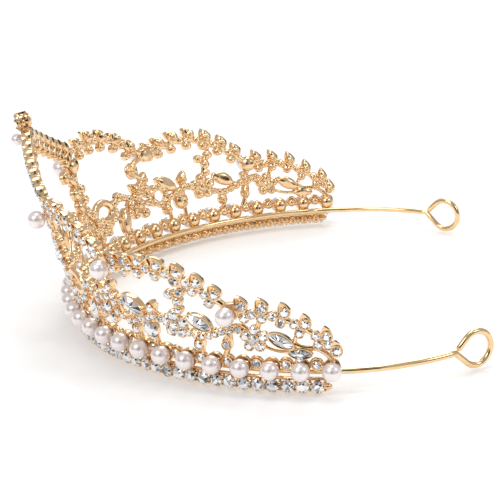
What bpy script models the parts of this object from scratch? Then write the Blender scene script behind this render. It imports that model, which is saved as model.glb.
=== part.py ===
"""Pearl and crystal tiara: an open half-ring band on a spring wire with looped ends.

The front of the band is at -Y and +X is the wearer's left. The underside of the crystal rail is z = 0.
Castings are drawn flat, as x along the band, y up from the pearl row and z outwards, and are then bent
onto the leaning band by panel_point().
"""
import math

import bmesh
import bpy
from mathutils import Matrix, Vector

MM = 0.001

# Band
RAIL_RADIUS = 73.0 * MM          # back plane of the castings, at the pearl row
CENTRE_Y = 26.23 * MM            # middle of the band's arc, so that the origin is under the box's middle
PEARL_ROW_Z = 6.5 * MM           # height of the pearl row's centres above the underside
FRONT_LEAN = 0.26                # outward slope of the front: depth gained for each unit of height
LEAN_FULL_TO = 50.0              # degrees from the front, both sides, that lean fully
LEAN_ENDS_AT = 85.0              # degrees from the front where the band stands upright again
GAP = 0.3 * MM                   # clearance kept between touching pieces

# Pearls
PEARL_RADIUS = 2.5 * MM
PEARLS_EACH_SIDE = 15
PEARL_PITCH = 5.81               # degrees
PEARL_DEPTH = 2.85 * MM          # pearl centres stand this far outside the rail radius
ACCENT_DEPTH = 4.1 * MM          # the same for the pearls that sit on the castings
APEX_PEARL_RADIUS = 1.7 * MM
APEX_PEARL_DEPTH = 3.5 * MM

# Rails
RAIL_END = 88.8                  # degrees from the front to the rails' ends
RAIL_STONES_PER_PITCH = 2
STONE_RAIL_HEIGHT = 3.9 * MM
STONE_RAIL_DEPTH = (-0.8 * MM, 1.2 * MM)
STONE_RAIL_NOTCH = 0.45 * MM
STONE_RAIL_TOOTH = 0.25          # half the flat above a crystal, in crystal pitches
PEARL_RAIL_BACK = (-1.9 * MM, 2.6 * MM)     # foot and top of the rail behind a pearl
PEARL_RAIL_WAIST = (-0.9 * MM, 1.2 * MM)    # the same between two pearls
PEARL_RAIL_DEPTH = (-1.1 * MM, -0.1 * MM)
PEARL_RAIL_FLAT = 0.13           # half the flat above a pearl, in pearl pitches

# Castings
FOOT_HEIGHT = 3.0                # mm above the pearl row where every casting starts
ROOT_HEIGHT = 1.5                # mm where the posts are drawn to, before they are trimmed
PLATE_BACK = -0.6 * MM
SEAT_FRONT = 1.5 * MM
PEARL_SEAT = -0.4 * MM           # pearl seats stop this much short of the stone seats
RIB_RADIUS = 0.7 * MM
RIB_DEPTH = 0.35 * MM
DEPTH_STEP = 0.02 * MM           # neighbouring shapes differ in depth, so that no two faces coincide
DEPTH_STEPS = 9
PETAL_NOTCH = 0.62               # radius between two petals over the radius at a petal
CASTING_SPLITS = (20.7, 40.9, 66.1, 89.5)   # degrees from the front where one casting ends

GAP_DEGREES = 0.168              # half the gap between two castings, and a little more

# Wire
WIRE_RADIUS = 0.7 * MM
WIRE_DEPTH = -2.3 * MM           # wire centre, inside the rail radius
WIRE_Z = PEARL_ROW_Z - 1.6 * MM
FLEX_ANGLE = 90.0                # degrees from the front where the arms start to flex
ARM_LENGTH = 28.2 * MM
ARM_TURN = 34.0                  # degrees that an arm turns inwards on its way to the loop
LOOP_HEADING = 32.0              # degrees inwards that the flat of the loop points
LOOP_RADIUS = 4.4 * MM
LOOP_REACH = 6.4 * MM            # neck of the loop to the middle of its round part
LOOP_END = 1.5 * MM              # the cut end stops this far from the middle of the neck

# Crystals that are large enough to be pieces of their own
CRYSTAL_FRONT = 1.1 * MM
CRYSTAL_LIFT = 0.45 * MM         # the crystal's underside stands this far off the plainest seat

# Vines: each scallop's leaves as (degrees, mm, direction of the tip), its stem, and the seats below the stem
GABLE_STEM = ((0.8, 42.0), (6.0, 38.7), (11.5, 35.1), (15.2, 32.8), (17.0, 30.2))
GABLE_ROWS = 7
GABLE_STEP = 2.5                 # degrees from one row of the gable to the next
GABLE_FALL = 1.6                 # mm that each row lies lower than the one before
GABLE_LEAVES = tuple((1.75 + GABLE_STEP * row, 42.95 - GABLE_FALL * row, 124.0) for row in range(GABLE_ROWS))
GABLE_SEATS = tuple((2.7 + GABLE_STEP * row, 39.2 - GABLE_FALL * row) for row in range(GABLE_ROWS))
GABLE_LEAF_LENGTH = 4.6          # mm
GABLE_LEAF_WIDTH = 2.6           # mm
PILLAR_SEATS = ((13.6, 25.6, 3.8), (16.6, 23.8, 4.0), (16.2, 20.0, 4.2), (18.9, 20.4, 3.0), (16.4, 16.2, 3.8),
                (18.8, 17.2, 3.2), (15.8, 12.8, 3.4), (18.4, 13.8, 3.8), (17.5, 9.4, 3.6), (17.5, 5.6, 3.2))
INNER_LEAVES = ((22.6, 32.6, 135.0), (26.8, 33.3, 130.0), (31.3, 32.0, 116.0), (35.3, 30.0, 125.0),
                (38.9, 26.8, 118.0))
INNER_STEM = ((20.6, 31.0), (24.5, 31.1), (28.9, 31.2), (33.0, 29.9), (36.8, 27.3), (39.6, 24.6))
INNER_SEATS = ((22.4, 29.0), (26.3, 29.2), (30.3, 28.7), (34.2, 27.0), (37.4, 23.9))
MIDDLE_LEAVES = ((44.0, 24.7, 140.0), (47.0, 25.4, 148.0), (50.8, 26.2, 145.0), (55.0, 26.1, 130.0),
                 (59.0, 24.7, 104.0), (62.5, 22.3, 104.0), (65.0, 19.8, 108.0))
MIDDLE_STEM = ((45.4, 23.0), (48.8, 23.8), (52.8, 24.3), (56.9, 23.7), (60.6, 21.7), (63.9, 18.9))
MIDDLE_SEATS = ((46.7, 21.7), (50.4, 22.2), (54.4, 22.4), (58.2, 21.6), (61.5, 19.3), (64.5, 16.4))
OUTER_LEAVES = ((70.3, 16.7, 112.0), (74.2, 16.3, 112.0), (78.4, 15.2, 108.0), (82.3, 12.3, 100.0),
                (86.2, 9.1, 98.0), (87.7, 5.1, 95.0))
OUTER_STEM = ((69.4, 14.9), (72.4, 14.0), (76.3, 13.6), (80.3, 11.6), (84.2, 8.7), (86.6, 6.2), (87.4, 3.0))
OUTER_SEATS = ((70.9, 12.8), (74.2, 12.9), (77.7, 11.8), (81.2, 9.2), (84.7, 6.4))
LEAF_LENGTH = 5.0                # mm
LEAF_WIDTH = 3.0                 # mm
STEM_SEAT = 2.7                  # mm across
ACCENT_SEAT = 5.0                # mm across, the seat behind an accent pearl

# Accent pearls, as (degrees, mm)
APEX_PEARL = (0.0, 42.7)
GABLE_PEARL = (18.3, 27.5)
INNER_PEARL = (42.9, 22.8)
MIDDLE_PEARL = (68.3, 14.5)

# Marquise crystals, as (degrees, mm, length mm, width mm, direction of its length)
INNER_MARQUISE = (32.2, 6.2, 6.4, 2.8, 76.0)
MIDDLE_MARQUISE = (47.0, 12.8, 7.0, 3.0, -33.0)
REAR_MARQUISE = (62.0, 11.0, 6.4, 2.8, -30.0)
OUTER_MARQUISE = (77.7, 7.3, 6.2, 2.6, -27.0)
BEZEL = 0.9                      # mm that a marquise's seat is longer and wider than its crystal

GOLD = (0.83, 0.60, 0.33, 1.0)
PEARL_WHITE = (0.93, 0.89, 0.90, 1.0)
CRYSTAL = (0.90, 0.92, 0.94, 1.0)


# ---------------------------------------------------------------- scene and materials

def clear_scene():
    """Remove whatever the file holds."""
    for obj in list(bpy.data.objects):
        bpy.data.objects.remove(obj, do_unlink=True)


def make_collection(name):
    """A new collection under the scene."""
    collection = bpy.data.collections.new(name)
    bpy.context.scene.collection.children.link(collection)
    return collection


def make_material(name, color, metallic, roughness):
    """A Principled material."""
    material = bpy.data.materials.new(name)
    material.use_nodes = True
    shader = material.node_tree.nodes["Principled BSDF"]
    shader.inputs["Base Color"].default_value = color
    shader.inputs["Metallic"].default_value = metallic
    shader.inputs["Roughness"].default_value = roughness
    return material


def add_object(name, mesh, material, smooth_angle=None):
    """Put a mesh in the tiara's collection as one named piece."""
    mesh.name = name
    mesh.materials.clear()
    mesh.materials.append(material)
    obj = bpy.data.objects.new(name, mesh)
    TIARA.objects.link(obj)
    if smooth_angle is not None:
        mesh.shade_smooth()
        mesh.set_sharp_from_angle(angle=math.radians(smooth_angle))
    return obj


# ---------------------------------------------------------------- the leaning band

def lean_slope(degrees):
    """Outward slope of the band at an angle from the front."""
    t = (LEAN_ENDS_AT - abs(degrees)) / (LEAN_ENDS_AT - LEAN_FULL_TO)
    t = min(1.0, max(0.0, t))
    return FRONT_LEAN * t * t * (3.0 - 2.0 * t)


def panel_point(degrees, height, depth):
    """World position on the band: degrees from the front, height above the pearls, depth outwards."""
    slope = lean_slope(degrees) if height > 0.0 else 0.0
    tilt = math.atan(slope)
    radius = RAIL_RADIUS + slope * height + depth * math.cos(tilt)
    angle = math.radians(degrees)
    z = PEARL_ROW_Z + height - depth * math.sin(tilt)
    return Vector((radius * math.sin(angle), CENTRE_Y - radius * math.cos(angle), z))


def flat_point(degrees, height_mm):
    """The same place in the flat drawing."""
    return Vector((RAIL_RADIUS * math.radians(degrees), height_mm * MM, 0.0))


def bend_onto_band(mesh):
    """Move a flat mesh onto the band."""
    for vertex in mesh.vertices:
        degrees = math.degrees(vertex.co.x / RAIL_RADIUS)
        vertex.co = panel_point(degrees, vertex.co.y, vertex.co.z)


def close_up(mesh):
    """Weld a curve's caps to its sides and turn every face outwards."""
    work = bmesh.new()
    work.from_mesh(mesh)
    bmesh.ops.remove_doubles(work, verts=work.verts, dist=0.01 * MM)
    bmesh.ops.recalc_face_normals(work, faces=work.faces)
    if work.calc_volume(signed=True) < 0.0:
        bmesh.ops.reverse_faces(work, faces=work.faces)
    work.to_mesh(mesh)
    work.free()


def mirrored_mesh(mesh):
    """A copy of a mesh on the other side of the X = 0 plane."""
    work = bmesh.new()
    work.from_mesh(mesh)
    bmesh.ops.scale(work, vec=(-1.0, 1.0, 1.0), verts=work.verts)
    bmesh.ops.reverse_faces(work, faces=work.faces)
    copy = bpy.data.meshes.new("mirrored")
    work.to_mesh(copy)
    work.free()
    return copy


# ---------------------------------------------------------------- flat shapes that castings are made of

def smooth_path(points, steps):
    """Evenly stepped Catmull-Rom curve through (degrees, mm) points."""
    padded = [points[0], *points, points[-1]]
    samples = []
    for step in range(steps + 1):
        position = step / steps * (len(points) - 1)
        index = min(int(position), len(points) - 2)
        t = position - index
        p0, p1, p2, p3 = (Vector(p) for p in padded[index:index + 4])
        samples.append(0.5 * (2 * p1 + (p2 - p0) * t + (2 * p0 - 5 * p1 + 4 * p2 - p3) * t * t
                              + (3 * p1 - p0 - 3 * p2 + p3) * t ** 3))
    return samples


def prism(centre, length, width, angle, sides, front):
    """A prism from the plate's back to its own front; two of its corners point along its length."""
    work = bmesh.new()
    thickness = front - PLATE_BACK
    bmesh.ops.create_cone(work, cap_ends=True, segments=sides, radius1=0.5, radius2=0.5, depth=thickness)
    first_corner = max(work.verts, key=lambda v: v.co.x)
    turn_to_corner = -math.atan2(first_corner.co.y, first_corner.co.x)
    place = (Matrix.Translation((centre.x, centre.y, 0.5 * (front + PLATE_BACK)))
             @ Matrix.Rotation(math.radians(angle), 4, "Z")
             @ Matrix.Diagonal((length, width, 1.0, 1.0))
             @ Matrix.Rotation(turn_to_corner, 4, "Z"))
    bmesh.ops.transform(work, matrix=place, verts=work.verts)
    mesh = bpy.data.meshes.new("prism")
    work.to_mesh(mesh)
    work.free()
    return mesh


def tube_mesh(points, radius, resolution, cyclic=False):
    """A round wire through 3-D points, with its caps welded on."""
    curve = bpy.data.curves.new("tube", "CURVE")
    curve.dimensions = "3D"
    curve.bevel_depth = radius
    curve.bevel_resolution = resolution
    curve.use_fill_caps = not cyclic
    spline = curve.splines.new("POLY")
    spline.points.add(len(points) - 1)
    for spline_point, point in zip(spline.points, points):
        spline_point.co = (point.x, point.y, point.z, 1.0)
    spline.use_cyclic_u = cyclic
    guide = bpy.data.objects.new("tube", curve)
    GUIDES.objects.link(guide)
    mesh = bpy.data.meshes.new_from_object(guide.evaluated_get(bpy.context.evaluated_depsgraph_get()))
    bpy.data.objects.remove(guide, do_unlink=True)
    close_up(mesh)
    return mesh


class Casting:
    """One openwork casting, drawn flat as overlapping shapes that are united and then bent."""

    def __init__(self):
        self.shapes = []

    def lift(self):
        """A small depth of the next shape's own."""
        return DEPTH_STEP * (len(self.shapes) % DEPTH_STEPS)

    def seat(self, degrees, height, diameter, sides=8, extra=0.0):
        """A round stone seat."""
        front = SEAT_FRONT + extra + self.lift()
        self.shapes.append(prism(flat_point(degrees, height), diameter * MM, diameter * MM, 0.0, sides, front))

    def leaf(self, degrees, height, length, width, angle):
        """A pointed leaf or marquise seat."""
        front = SEAT_FRONT + self.lift()
        self.shapes.append(prism(flat_point(degrees, height), length * MM, width * MM, angle, 6, front))

    def rib(self, points, steps, radius=RIB_RADIUS):
        """A rib along a smooth path of (degrees, mm) points."""
        path = [flat_point(*p) for p in smooth_path(points, steps)]
        depth = Vector((0.0, 0.0, RIB_DEPTH + self.lift()))
        self.shapes.append(tube_mesh([p + depth for p in path], radius, 0))

    def ring(self, degrees, height, radius, sides=8):
        """A round scroll."""
        centre = flat_point(degrees, height)
        turns = [2 * math.pi * i / sides for i in range(sides)]
        depth = RIB_DEPTH + self.lift()
        path = [centre + Vector((radius * MM * math.cos(a), radius * MM * math.sin(a), depth)) for a in turns]
        self.shapes.append(tube_mesh(path, RIB_RADIUS, 0, cyclic=True))

    def vine(self, leaves, stem, seats):
        """A stem of round seats, with pointed leaves above it and single seats below it."""
        self.rib(stem, len(stem) + 1, RIB_RADIUS * 1.15)
        for degrees, height, angle in leaves:
            self.leaf(degrees, height, LEAF_LENGTH, LEAF_WIDTH, angle)
            nearest = min(stem, key=lambda point: abs(point[0] - degrees))
            self.rib((nearest, (degrees, height)), 1)
        for degrees, height in stem[1:]:
            self.seat(degrees, height, STEM_SEAT, 6)
        for degrees, height in seats:
            self.seat(degrees, height, STEM_SEAT, 6)
            nearest = min(stem, key=lambda point: abs(point[0] - degrees))
            self.rib((nearest, (degrees, height)), 1)

    def marquise(self, place):
        """The seat of a marquise crystal."""
        degrees, height, length, width, angle = place
        self.leaf(degrees, height, length + BEZEL, width + BEZEL, angle)

    def flower(self, degrees, height, diameter=6.8, petals=5):
        """One seat with a notch between every two petals."""
        mesh = prism(flat_point(degrees, height), diameter * MM, diameter * MM, 90.0, 2 * petals,
                     SEAT_FRONT + self.lift())
        centre = flat_point(degrees, height)
        for vertex in mesh.vertices:
            out = Vector((vertex.co.x - centre.x, vertex.co.y - centre.y))
            turn = math.degrees(math.atan2(out.y, out.x)) - 90.0
            if round(turn / (180.0 / petals)) % 2:
                vertex.co.x = centre.x + PETAL_NOTCH * out.x
                vertex.co.y = centre.y + PETAL_NOTCH * out.y
        self.shapes.append(mesh)

    def foot(self, degrees, height, lean=0.0):
        """A short post from the garland down to the pearl rail."""
        self.rib(((degrees + lean, height), (degrees, ROOT_HEIGHT)), 1, RIB_RADIUS * 1.1)

    def united_mesh(self, first_degree, last_degree):
        """Unite the shapes, trim them to the casting's own stretch of band and bend the result."""
        shapes = bpy.data.collections.new("shapes")
        GUIDES.children.link(shapes)
        objects = [bpy.data.objects.new("shape", mesh) for mesh in self.shapes]
        base = objects[0]
        GUIDES.objects.link(base)
        for obj in objects[1:]:
            shapes.objects.link(obj)
        union = base.modifiers.new("unite", "BOOLEAN")
        union.operation = "UNION"
        union.operand_type = "COLLECTION"
        union.collection = shapes
        union.solver = "EXACT"
        window = stretch_box(first_degree, last_degree)
        GUIDES.objects.link(window)
        trim = base.modifiers.new("trim", "BOOLEAN")
        trim.operation = "INTERSECT"
        trim.object = window
        trim.solver = "EXACT"
        triangulate = base.modifiers.new("triangles", "TRIANGULATE")
        triangulate.quad_method = "BEAUTY"
        mesh = bpy.data.meshes.new_from_object(base.evaluated_get(bpy.context.evaluated_depsgraph_get()))
        for obj in [*objects, window]:
            bpy.data.objects.remove(obj, do_unlink=True)
        bpy.data.collections.remove(shapes)
        bend_onto_band(mesh)
        return mesh


def stretch_box(first_degree, last_degree):
    """A box over one stretch of the flat band, above the pearl rail."""
    low = flat_point(first_degree, FOOT_HEIGHT)
    high = flat_point(last_degree, 60.0)
    half_depth = 5.0 * MM
    work = bmesh.new()
    bmesh.ops.create_cube(work, size=1.0)
    size = high - low
    place = Matrix.Translation((low + high) / 2) @ Matrix.Diagonal((size.x, size.y, 2 * half_depth, 1.0))
    bmesh.ops.transform(work, matrix=place, verts=work.verts)
    mesh = bpy.data.meshes.new("window")
    work.to_mesh(mesh)
    work.free()
    window = bpy.data.objects.new("window", mesh)
    window.hide_render = True
    window.display_type = "WIRE"
    return window


# ---------------------------------------------------------------- castings

def centre_casting():
    """Gabled arch with an apex seat, two pillars and a low fleuron between them."""
    casting = Casting()
    casting.seat(0.0, 47.0, 4.4, 8, 0.3 * MM)
    casting.rib(((0.0, 47.0), APEX_PEARL), 1, RIB_RADIUS * 1.6)
    casting.seat(*APEX_PEARL, ACCENT_SEAT - 0.4, 8, PEARL_SEAT)
    for side in (-1, 1):
        casting.rib(tuple((side * degrees, height) for degrees, height in GABLE_STEM), 8, RIB_RADIUS * 1.6)
        for degrees, height, angle in GABLE_LEAVES:
            casting.leaf(side * degrees, height, GABLE_LEAF_LENGTH, GABLE_LEAF_WIDTH,
                         90.0 + side * (angle - 90.0))
        for degrees, height in GABLE_SEATS:
            casting.seat(side * degrees, height, 2.6, 6)
        casting.seat(side * GABLE_PEARL[0], GABLE_PEARL[1], ACCENT_SEAT, 8, PEARL_SEAT)
        casting.rib(((side * 18.3, 27.5), (side * 17.6, 15.0), (side * 17.5, ROOT_HEIGHT)), 4, RIB_RADIUS * 1.3)
        casting.rib(((side * 13.6, 25.6), (side * 17.9, 22.2)), 1)
        for degrees, height, diameter in PILLAR_SEATS:
            casting.seat(side * degrees, height, diameter, 6)
        casting.rib(((0.0, 8.0), (side * 4.5, 5.2), (side * 9.0, 8.0), (side * 12.5, 13.5),
                     (side * 15.0, 11.0), (side * 17.5, 9.4)), 10)
        casting.leaf(side * 5.6, 12.4, 7.4, 3.4, 90.0 - 38.0 * side)
        casting.rib(((side * 5.6, 12.4), (side * 0.8, 7.8)), 1)
        casting.leaf(side * 12.0, 13.8, 5.0, 2.8, 90.0 - 20.0 * side)
        casting.seat(side * 9.0, 7.8, 3.0, 6)
        casting.seat(side * 13.4, 7.2, 2.8, 6)
        casting.rib(((side * 9.0, 7.8), (side * 13.4, 7.2), (side * 17.5, 5.6)), 3)
        casting.foot(side * 1.2, 6.8)
        casting.foot(side * 8.7, 7.8)
    casting.leaf(0.0, 14.2, 9.4, 4.4, 90.0)
    casting.seat(0.0, 7.6, 4.7, 8, 0.1 * MM)
    return casting.united_mesh(-CASTING_SPLITS[0] + GAP_DEGREES, CASTING_SPLITS[0] - GAP_DEGREES)


def inner_casting():
    """First scallop: a vine over an open window, and a scrolled garland under it."""
    casting = Casting()
    casting.vine(INNER_LEAVES, INNER_STEM, INNER_SEATS)
    casting.rib(((21.3, 29.0), (20.9, 20.0), (21.2, 11.8)), 3)
    casting.rib(((39.6, 24.6), (38.9, 21.6), (38.2, 17.2), (39.6, 15.2), (38.6, 12.4), (38.4, 9.2)), 8)
    casting.ring(37.6, 19.2, 1.6)
    casting.leaf(39.0, 15.8, 4.2, 2.8, 62.0)
    casting.leaf(36.8, 14.4, 4.0, 3.0, 130.0)
    casting.rib(((36.8, 14.4), (38.4, 12.6)), 1)
    casting.rib(((21.2, 8.6), (22.6, 13.0), (25.4, 13.9), (28.0, 12.0), (31.6, 13.2), (35.0, 11.8),
                 (38.6, 12.2)), 12)
    casting.rib(((28.0, 12.0), (27.6, 9.0), (25.0, 8.2), (22.8, 9.6)), 5)
    casting.seat(31.6, 13.4, 3.2, 6)
    casting.seat(35.0, 11.8, 2.6, 6)
    casting.seat(39.0, 12.0, 2.6, 6)
    casting.seat(38.3, 9.2, 3.6, 8)
    casting.seat(39.2, 6.4, 3.0, 6)
    casting.rib(((38.3, 9.2), (39.2, 6.4)), 1)
    casting.rib(((35.0, 11.8), (34.4, 8.8), (36.2, 7.4), (38.3, 9.2)), 5)
    casting.marquise(INNER_MARQUISE)
    casting.rib(((34.4, 8.8), INNER_MARQUISE[:2]), 1)
    casting.rib(((21.2, 7.2), (24.9, 5.6), (28.3, 7.8), INNER_MARQUISE[:2]), 5)
    casting.seat(24.9, 5.6, 2.6, 6)
    casting.seat(28.3, 8.0, 2.6, 6)
    casting.foot(21.6, 11.8)
    casting.foot(32.9, 5.0)
    casting.foot(39.2, 6.0)
    return casting.united_mesh(CASTING_SPLITS[0] + GAP_DEGREES, CASTING_SPLITS[1] - GAP_DEGREES)


def middle_casting():
    """Second scallop, with a flower on a strut and marquise leaves."""
    casting = Casting()
    casting.vine(MIDDLE_LEAVES, MIDDLE_STEM, MIDDLE_SEATS)
    casting.seat(*INNER_PEARL, ACCENT_SEAT, 8, PEARL_SEAT)
    casting.rib((INNER_PEARL, (46.0, 23.2)), 1)
    casting.rib((INNER_PEARL, (42.6, 16.0), (43.4, 12.4)), 3)
    casting.ring(44.0, 9.9, 2.0)
    casting.rib(((43.4, 12.4), (45.4, 13.2), MIDDLE_MARQUISE[:2]), 3)
    casting.rib(((45.6, 8.8), (49.0, 9.2), (51.8, 10.6), (54.6, 9.4), (56.6, 9.6)), 8)
    casting.marquise(MIDDLE_MARQUISE)
    casting.leaf(51.5, 13.4, 4.6, 3.1, 64.0)
    casting.rib(((51.4, 10.6), (51.5, 13.2)), 1)
    casting.seat(50.4, 6.8, 4.6, 8)
    casting.rib(((50.4, 6.8), (51.4, 10.4)), 1)
    casting.leaf(46.0, 6.0, 4.0, 3.2, 72.0)
    casting.flower(56.6, 9.6)
    casting.rib(((58.9, 22.0), (58.4, 17.4), (57.4, 14.4), (56.6, 9.6)), 5)
    casting.seat(58.8, 18.7, 2.6, 6)
    casting.seat(57.9, 16.0, 2.6, 6)
    casting.marquise(REAR_MARQUISE)
    casting.rib(((58.0, 8.6), (60.6, 7.4), (63.2, 7.5), (66.0, 9.0)), 6)
    casting.seat(60.6, 7.4, 2.4, 6)
    casting.seat(63.4, 7.6, 2.4, 6)
    casting.rib(((59.0, 10.6), (60.2, 12.6), REAR_MARQUISE[:2]), 3)
    casting.rib(((REAR_MARQUISE[0] + 2.0, 9.6), (64.8, 8.2)), 1)
    casting.rib(((64.9, 16.4), (65.2, 12.0), (65.2, 8.4)), 3)
    casting.leaf(61.4, 5.2, 4.4, 3.0, 86.0)
    casting.foot(46.3, 9.0)
    casting.foot(50.8, 6.8)
    casting.foot(57.0, 8.2)
    casting.foot(61.4, 7.6)
    casting.foot(65.2, 8.0)
    return casting.united_mesh(CASTING_SPLITS[1] + GAP_DEGREES, CASTING_SPLITS[2] - GAP_DEGREES)


def outer_casting():
    """Last scallop, which runs down to the band's end."""
    casting = Casting()
    casting.vine(OUTER_LEAVES, OUTER_STEM, OUTER_SEATS)
    casting.seat(*MIDDLE_PEARL, ACCENT_SEAT, 8, PEARL_SEAT)
    casting.rib((MIDDLE_PEARL, (67.6, 10.0), (67.9, 6.6), (67.4, ROOT_HEIGHT)), 4)
    casting.leaf(67.6, 6.4, 4.8, 2.9, 82.0)
    casting.flower(72.6, 7.5)
    casting.rib(((67.8, 10.0), (70.2, 10.8), (72.6, 7.5)), 3)
    casting.rib(((73.6, 14.2), (73.3, 11.0), (72.4, 7.5)), 2)
    casting.marquise(OUTER_MARQUISE)
    casting.leaf(81.3, 4.4, 6.0, 2.9, -4.0)
    casting.rib(((72.6, 7.3), (75.4, 8.4), OUTER_MARQUISE[:2], (80.4, 5.6), (84.0, 4.8), (87.2, 3.8)), 8)
    casting.rib(((77.4, 12.6), (78.0, 10.2), OUTER_MARQUISE[:2]), 2)
    casting.foot(73.0, 6.2)
    casting.foot(80.4, 5.4)
    casting.foot(87.2, 4.6)
    return casting.united_mesh(CASTING_SPLITS[2] + GAP_DEGREES, CASTING_SPLITS[3] - GAP_DEGREES)


# ---------------------------------------------------------------- rails, pearls, crystals and wire

def strip_mesh(sections, depth):
    """A strip of metal along the band; each section is its place along the band, its foot and its top."""
    work = bmesh.new()
    bmesh.ops.create_grid(work, x_segments=len(sections) - 1, y_segments=1, size=1.0)
    corners = sorted(work.verts, key=lambda v: (round(v.co.x, 5), v.co.y))
    for index, (along, low, high) in enumerate(sections):
        corners[2 * index].co = (along, low, depth[0])
        corners[2 * index + 1].co = (along, high, depth[0])
    front = bmesh.ops.extrude_face_region(work, geom=work.faces[:])
    front_corners = [item for item in front["geom"] if isinstance(item, bmesh.types.BMVert)]
    bmesh.ops.translate(work, vec=(0.0, 0.0, depth[1] - depth[0]), verts=front_corners)
    bmesh.ops.recalc_face_normals(work, faces=work.faces)
    if work.calc_volume(signed=True) < 0.0:
        bmesh.ops.reverse_faces(work, faces=work.faces)
    bmesh.ops.triangulate(work, faces=work.faces)
    mesh = bpy.data.meshes.new("strip")
    work.to_mesh(mesh)
    work.free()
    bend_onto_band(mesh)
    return mesh


def stone_rail():
    """Bottom rail: a straight underside, and a notch in the top between every two crystals."""
    count = 2 * PEARLS_EACH_SIDE * RAIL_STONES_PER_PITCH
    pitch = RAIL_RADIUS * math.radians(PEARL_PITCH) / RAIL_STONES_PER_PITCH
    end = RAIL_RADIUS * math.radians(RAIL_END)
    low = -PEARL_ROW_Z
    high = low + STONE_RAIL_HEIGHT
    notch = high - STONE_RAIL_NOTCH
    sections = [(-end, low, notch)]
    for index in range(count + 1):
        middle = (index - count / 2) * pitch
        sections.append((middle - STONE_RAIL_TOOTH * pitch, low, high))
        sections.append((middle + STONE_RAIL_TOOTH * pitch, low, high))
        if index < count:
            sections.append((middle + 0.5 * pitch, low, notch))
    sections.append((end, low, notch))
    return strip_mesh(sections, STONE_RAIL_DEPTH)


def pearl_rail():
    """Rail behind the pearls: a round back for each pearl, with a waist between."""
    pitch = RAIL_RADIUS * math.radians(PEARL_PITCH)
    end = RAIL_RADIUS * math.radians(RAIL_END)
    sections = [(-end, *PEARL_RAIL_WAIST)]
    for index in range(-PEARLS_EACH_SIDE, PEARLS_EACH_SIDE + 1):
        middle = index * pitch
        sections.append((middle - PEARL_RAIL_FLAT * pitch, *PEARL_RAIL_BACK))
        sections.append((middle + PEARL_RAIL_FLAT * pitch, *PEARL_RAIL_BACK))
        if index < PEARLS_EACH_SIDE:
            sections.append((middle + 0.5 * pitch, *PEARL_RAIL_WAIST))
    sections.append((end, *PEARL_RAIL_WAIST))
    return strip_mesh(sections, PEARL_RAIL_DEPTH)


def pearl(name, degrees, height_mm, depth, radius=PEARL_RADIUS):
    """One round pearl; its pole points out of the band."""
    work = bmesh.new()
    bmesh.ops.create_uvsphere(work, u_segments=8, v_segments=6, radius=radius)
    mesh = bpy.data.meshes.new(name)
    work.to_mesh(mesh)
    work.free()
    obj = add_object(name, mesh, MATERIALS["pearl"], 60)
    obj.location = panel_point(degrees, height_mm * MM, depth)
    obj.rotation_euler = (math.radians(90.0), 0.0, math.radians(degrees))
    return obj


def crystal(degrees, height_mm, length, width, angle, sides):
    """One cut crystal: a low frustum standing just off its seat."""
    work = bmesh.new()
    bmesh.ops.create_cone(work, cap_ends=True, segments=sides, radius1=0.5, radius2=0.3, depth=CRYSTAL_FRONT)
    first_corner = max(work.verts, key=lambda v: v.co.length)
    turn_to_corner = -math.atan2(first_corner.co.y, first_corner.co.x)
    centre = flat_point(degrees, height_mm)
    seat_top = SEAT_FRONT + CRYSTAL_LIFT + GAP
    place = (Matrix.Translation((centre.x, centre.y, seat_top + 0.5 * CRYSTAL_FRONT))
             @ Matrix.Rotation(math.radians(angle), 4, "Z")
             @ Matrix.Diagonal((length * MM, width * MM, 1.0, 1.0))
             @ Matrix.Rotation(turn_to_corner, 4, "Z"))
    bmesh.ops.transform(work, matrix=place, verts=work.verts)
    bmesh.ops.triangulate(work, faces=work.faces)
    mesh = bpy.data.meshes.new("crystal")
    work.to_mesh(mesh)
    work.free()
    bend_onto_band(mesh)
    return mesh


def band_wire_points(first_degree, last_degree, steps):
    """Points along the wire inside the band."""
    points = []
    radius = RAIL_RADIUS + WIRE_DEPTH
    for step in range(steps + 1):
        angle = math.radians(first_degree + (last_degree - first_degree) * step / steps)
        points.append(Vector((radius * math.sin(angle), CENTRE_Y - radius * math.cos(angle), WIRE_Z)))
    return points


def arm_wire_points():
    """The left arm, from just behind its flexing place through the neck and once round the loop."""
    points = []
    radius = RAIL_RADIUS + WIRE_DEPTH
    start = Vector((radius, CENTRE_Y + GAP, WIRE_Z))
    steps = 8
    position = start.copy()
    for step in range(steps + 1):
        points.append(position.copy())
        heading = math.radians(ARM_TURN * (step + 0.5) / steps)
        stride = ARM_LENGTH / steps
        position = position + Vector((-math.sin(heading), math.cos(heading), 0.02)) * stride
    neck = points[-1]
    heading = math.radians(LOOP_HEADING)
    outwards = Vector((-math.sin(heading), math.cos(heading), 0.0))
    middle = neck + outwards * LOOP_REACH
    half_angle = math.degrees(math.acos(LOOP_RADIUS / LOOP_REACH))
    turns = 14
    for step in range(turns + 1):
        angle = math.radians(180.0 + half_angle + (360.0 - 2 * half_angle) * step / turns)
        points.append(middle + outwards * LOOP_RADIUS * math.cos(angle)
                      + Vector((0.0, 0.0, LOOP_RADIUS * math.sin(angle))))
    points.append(neck + (points[-1] - neck).normalized() * LOOP_END)
    return points


# ---------------------------------------------------------------- the tiara

clear_scene()
TIARA = make_collection("tiara")
GUIDES = make_collection("guides")
MATERIALS = {
    "gold": make_material("gold", GOLD, 1.0, 0.22),
    "pearl": make_material("pearl", PEARL_WHITE, 0.0, 0.25),
    "crystal": make_material("crystal", CRYSTAL, 0.0, 0.05),
}

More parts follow.
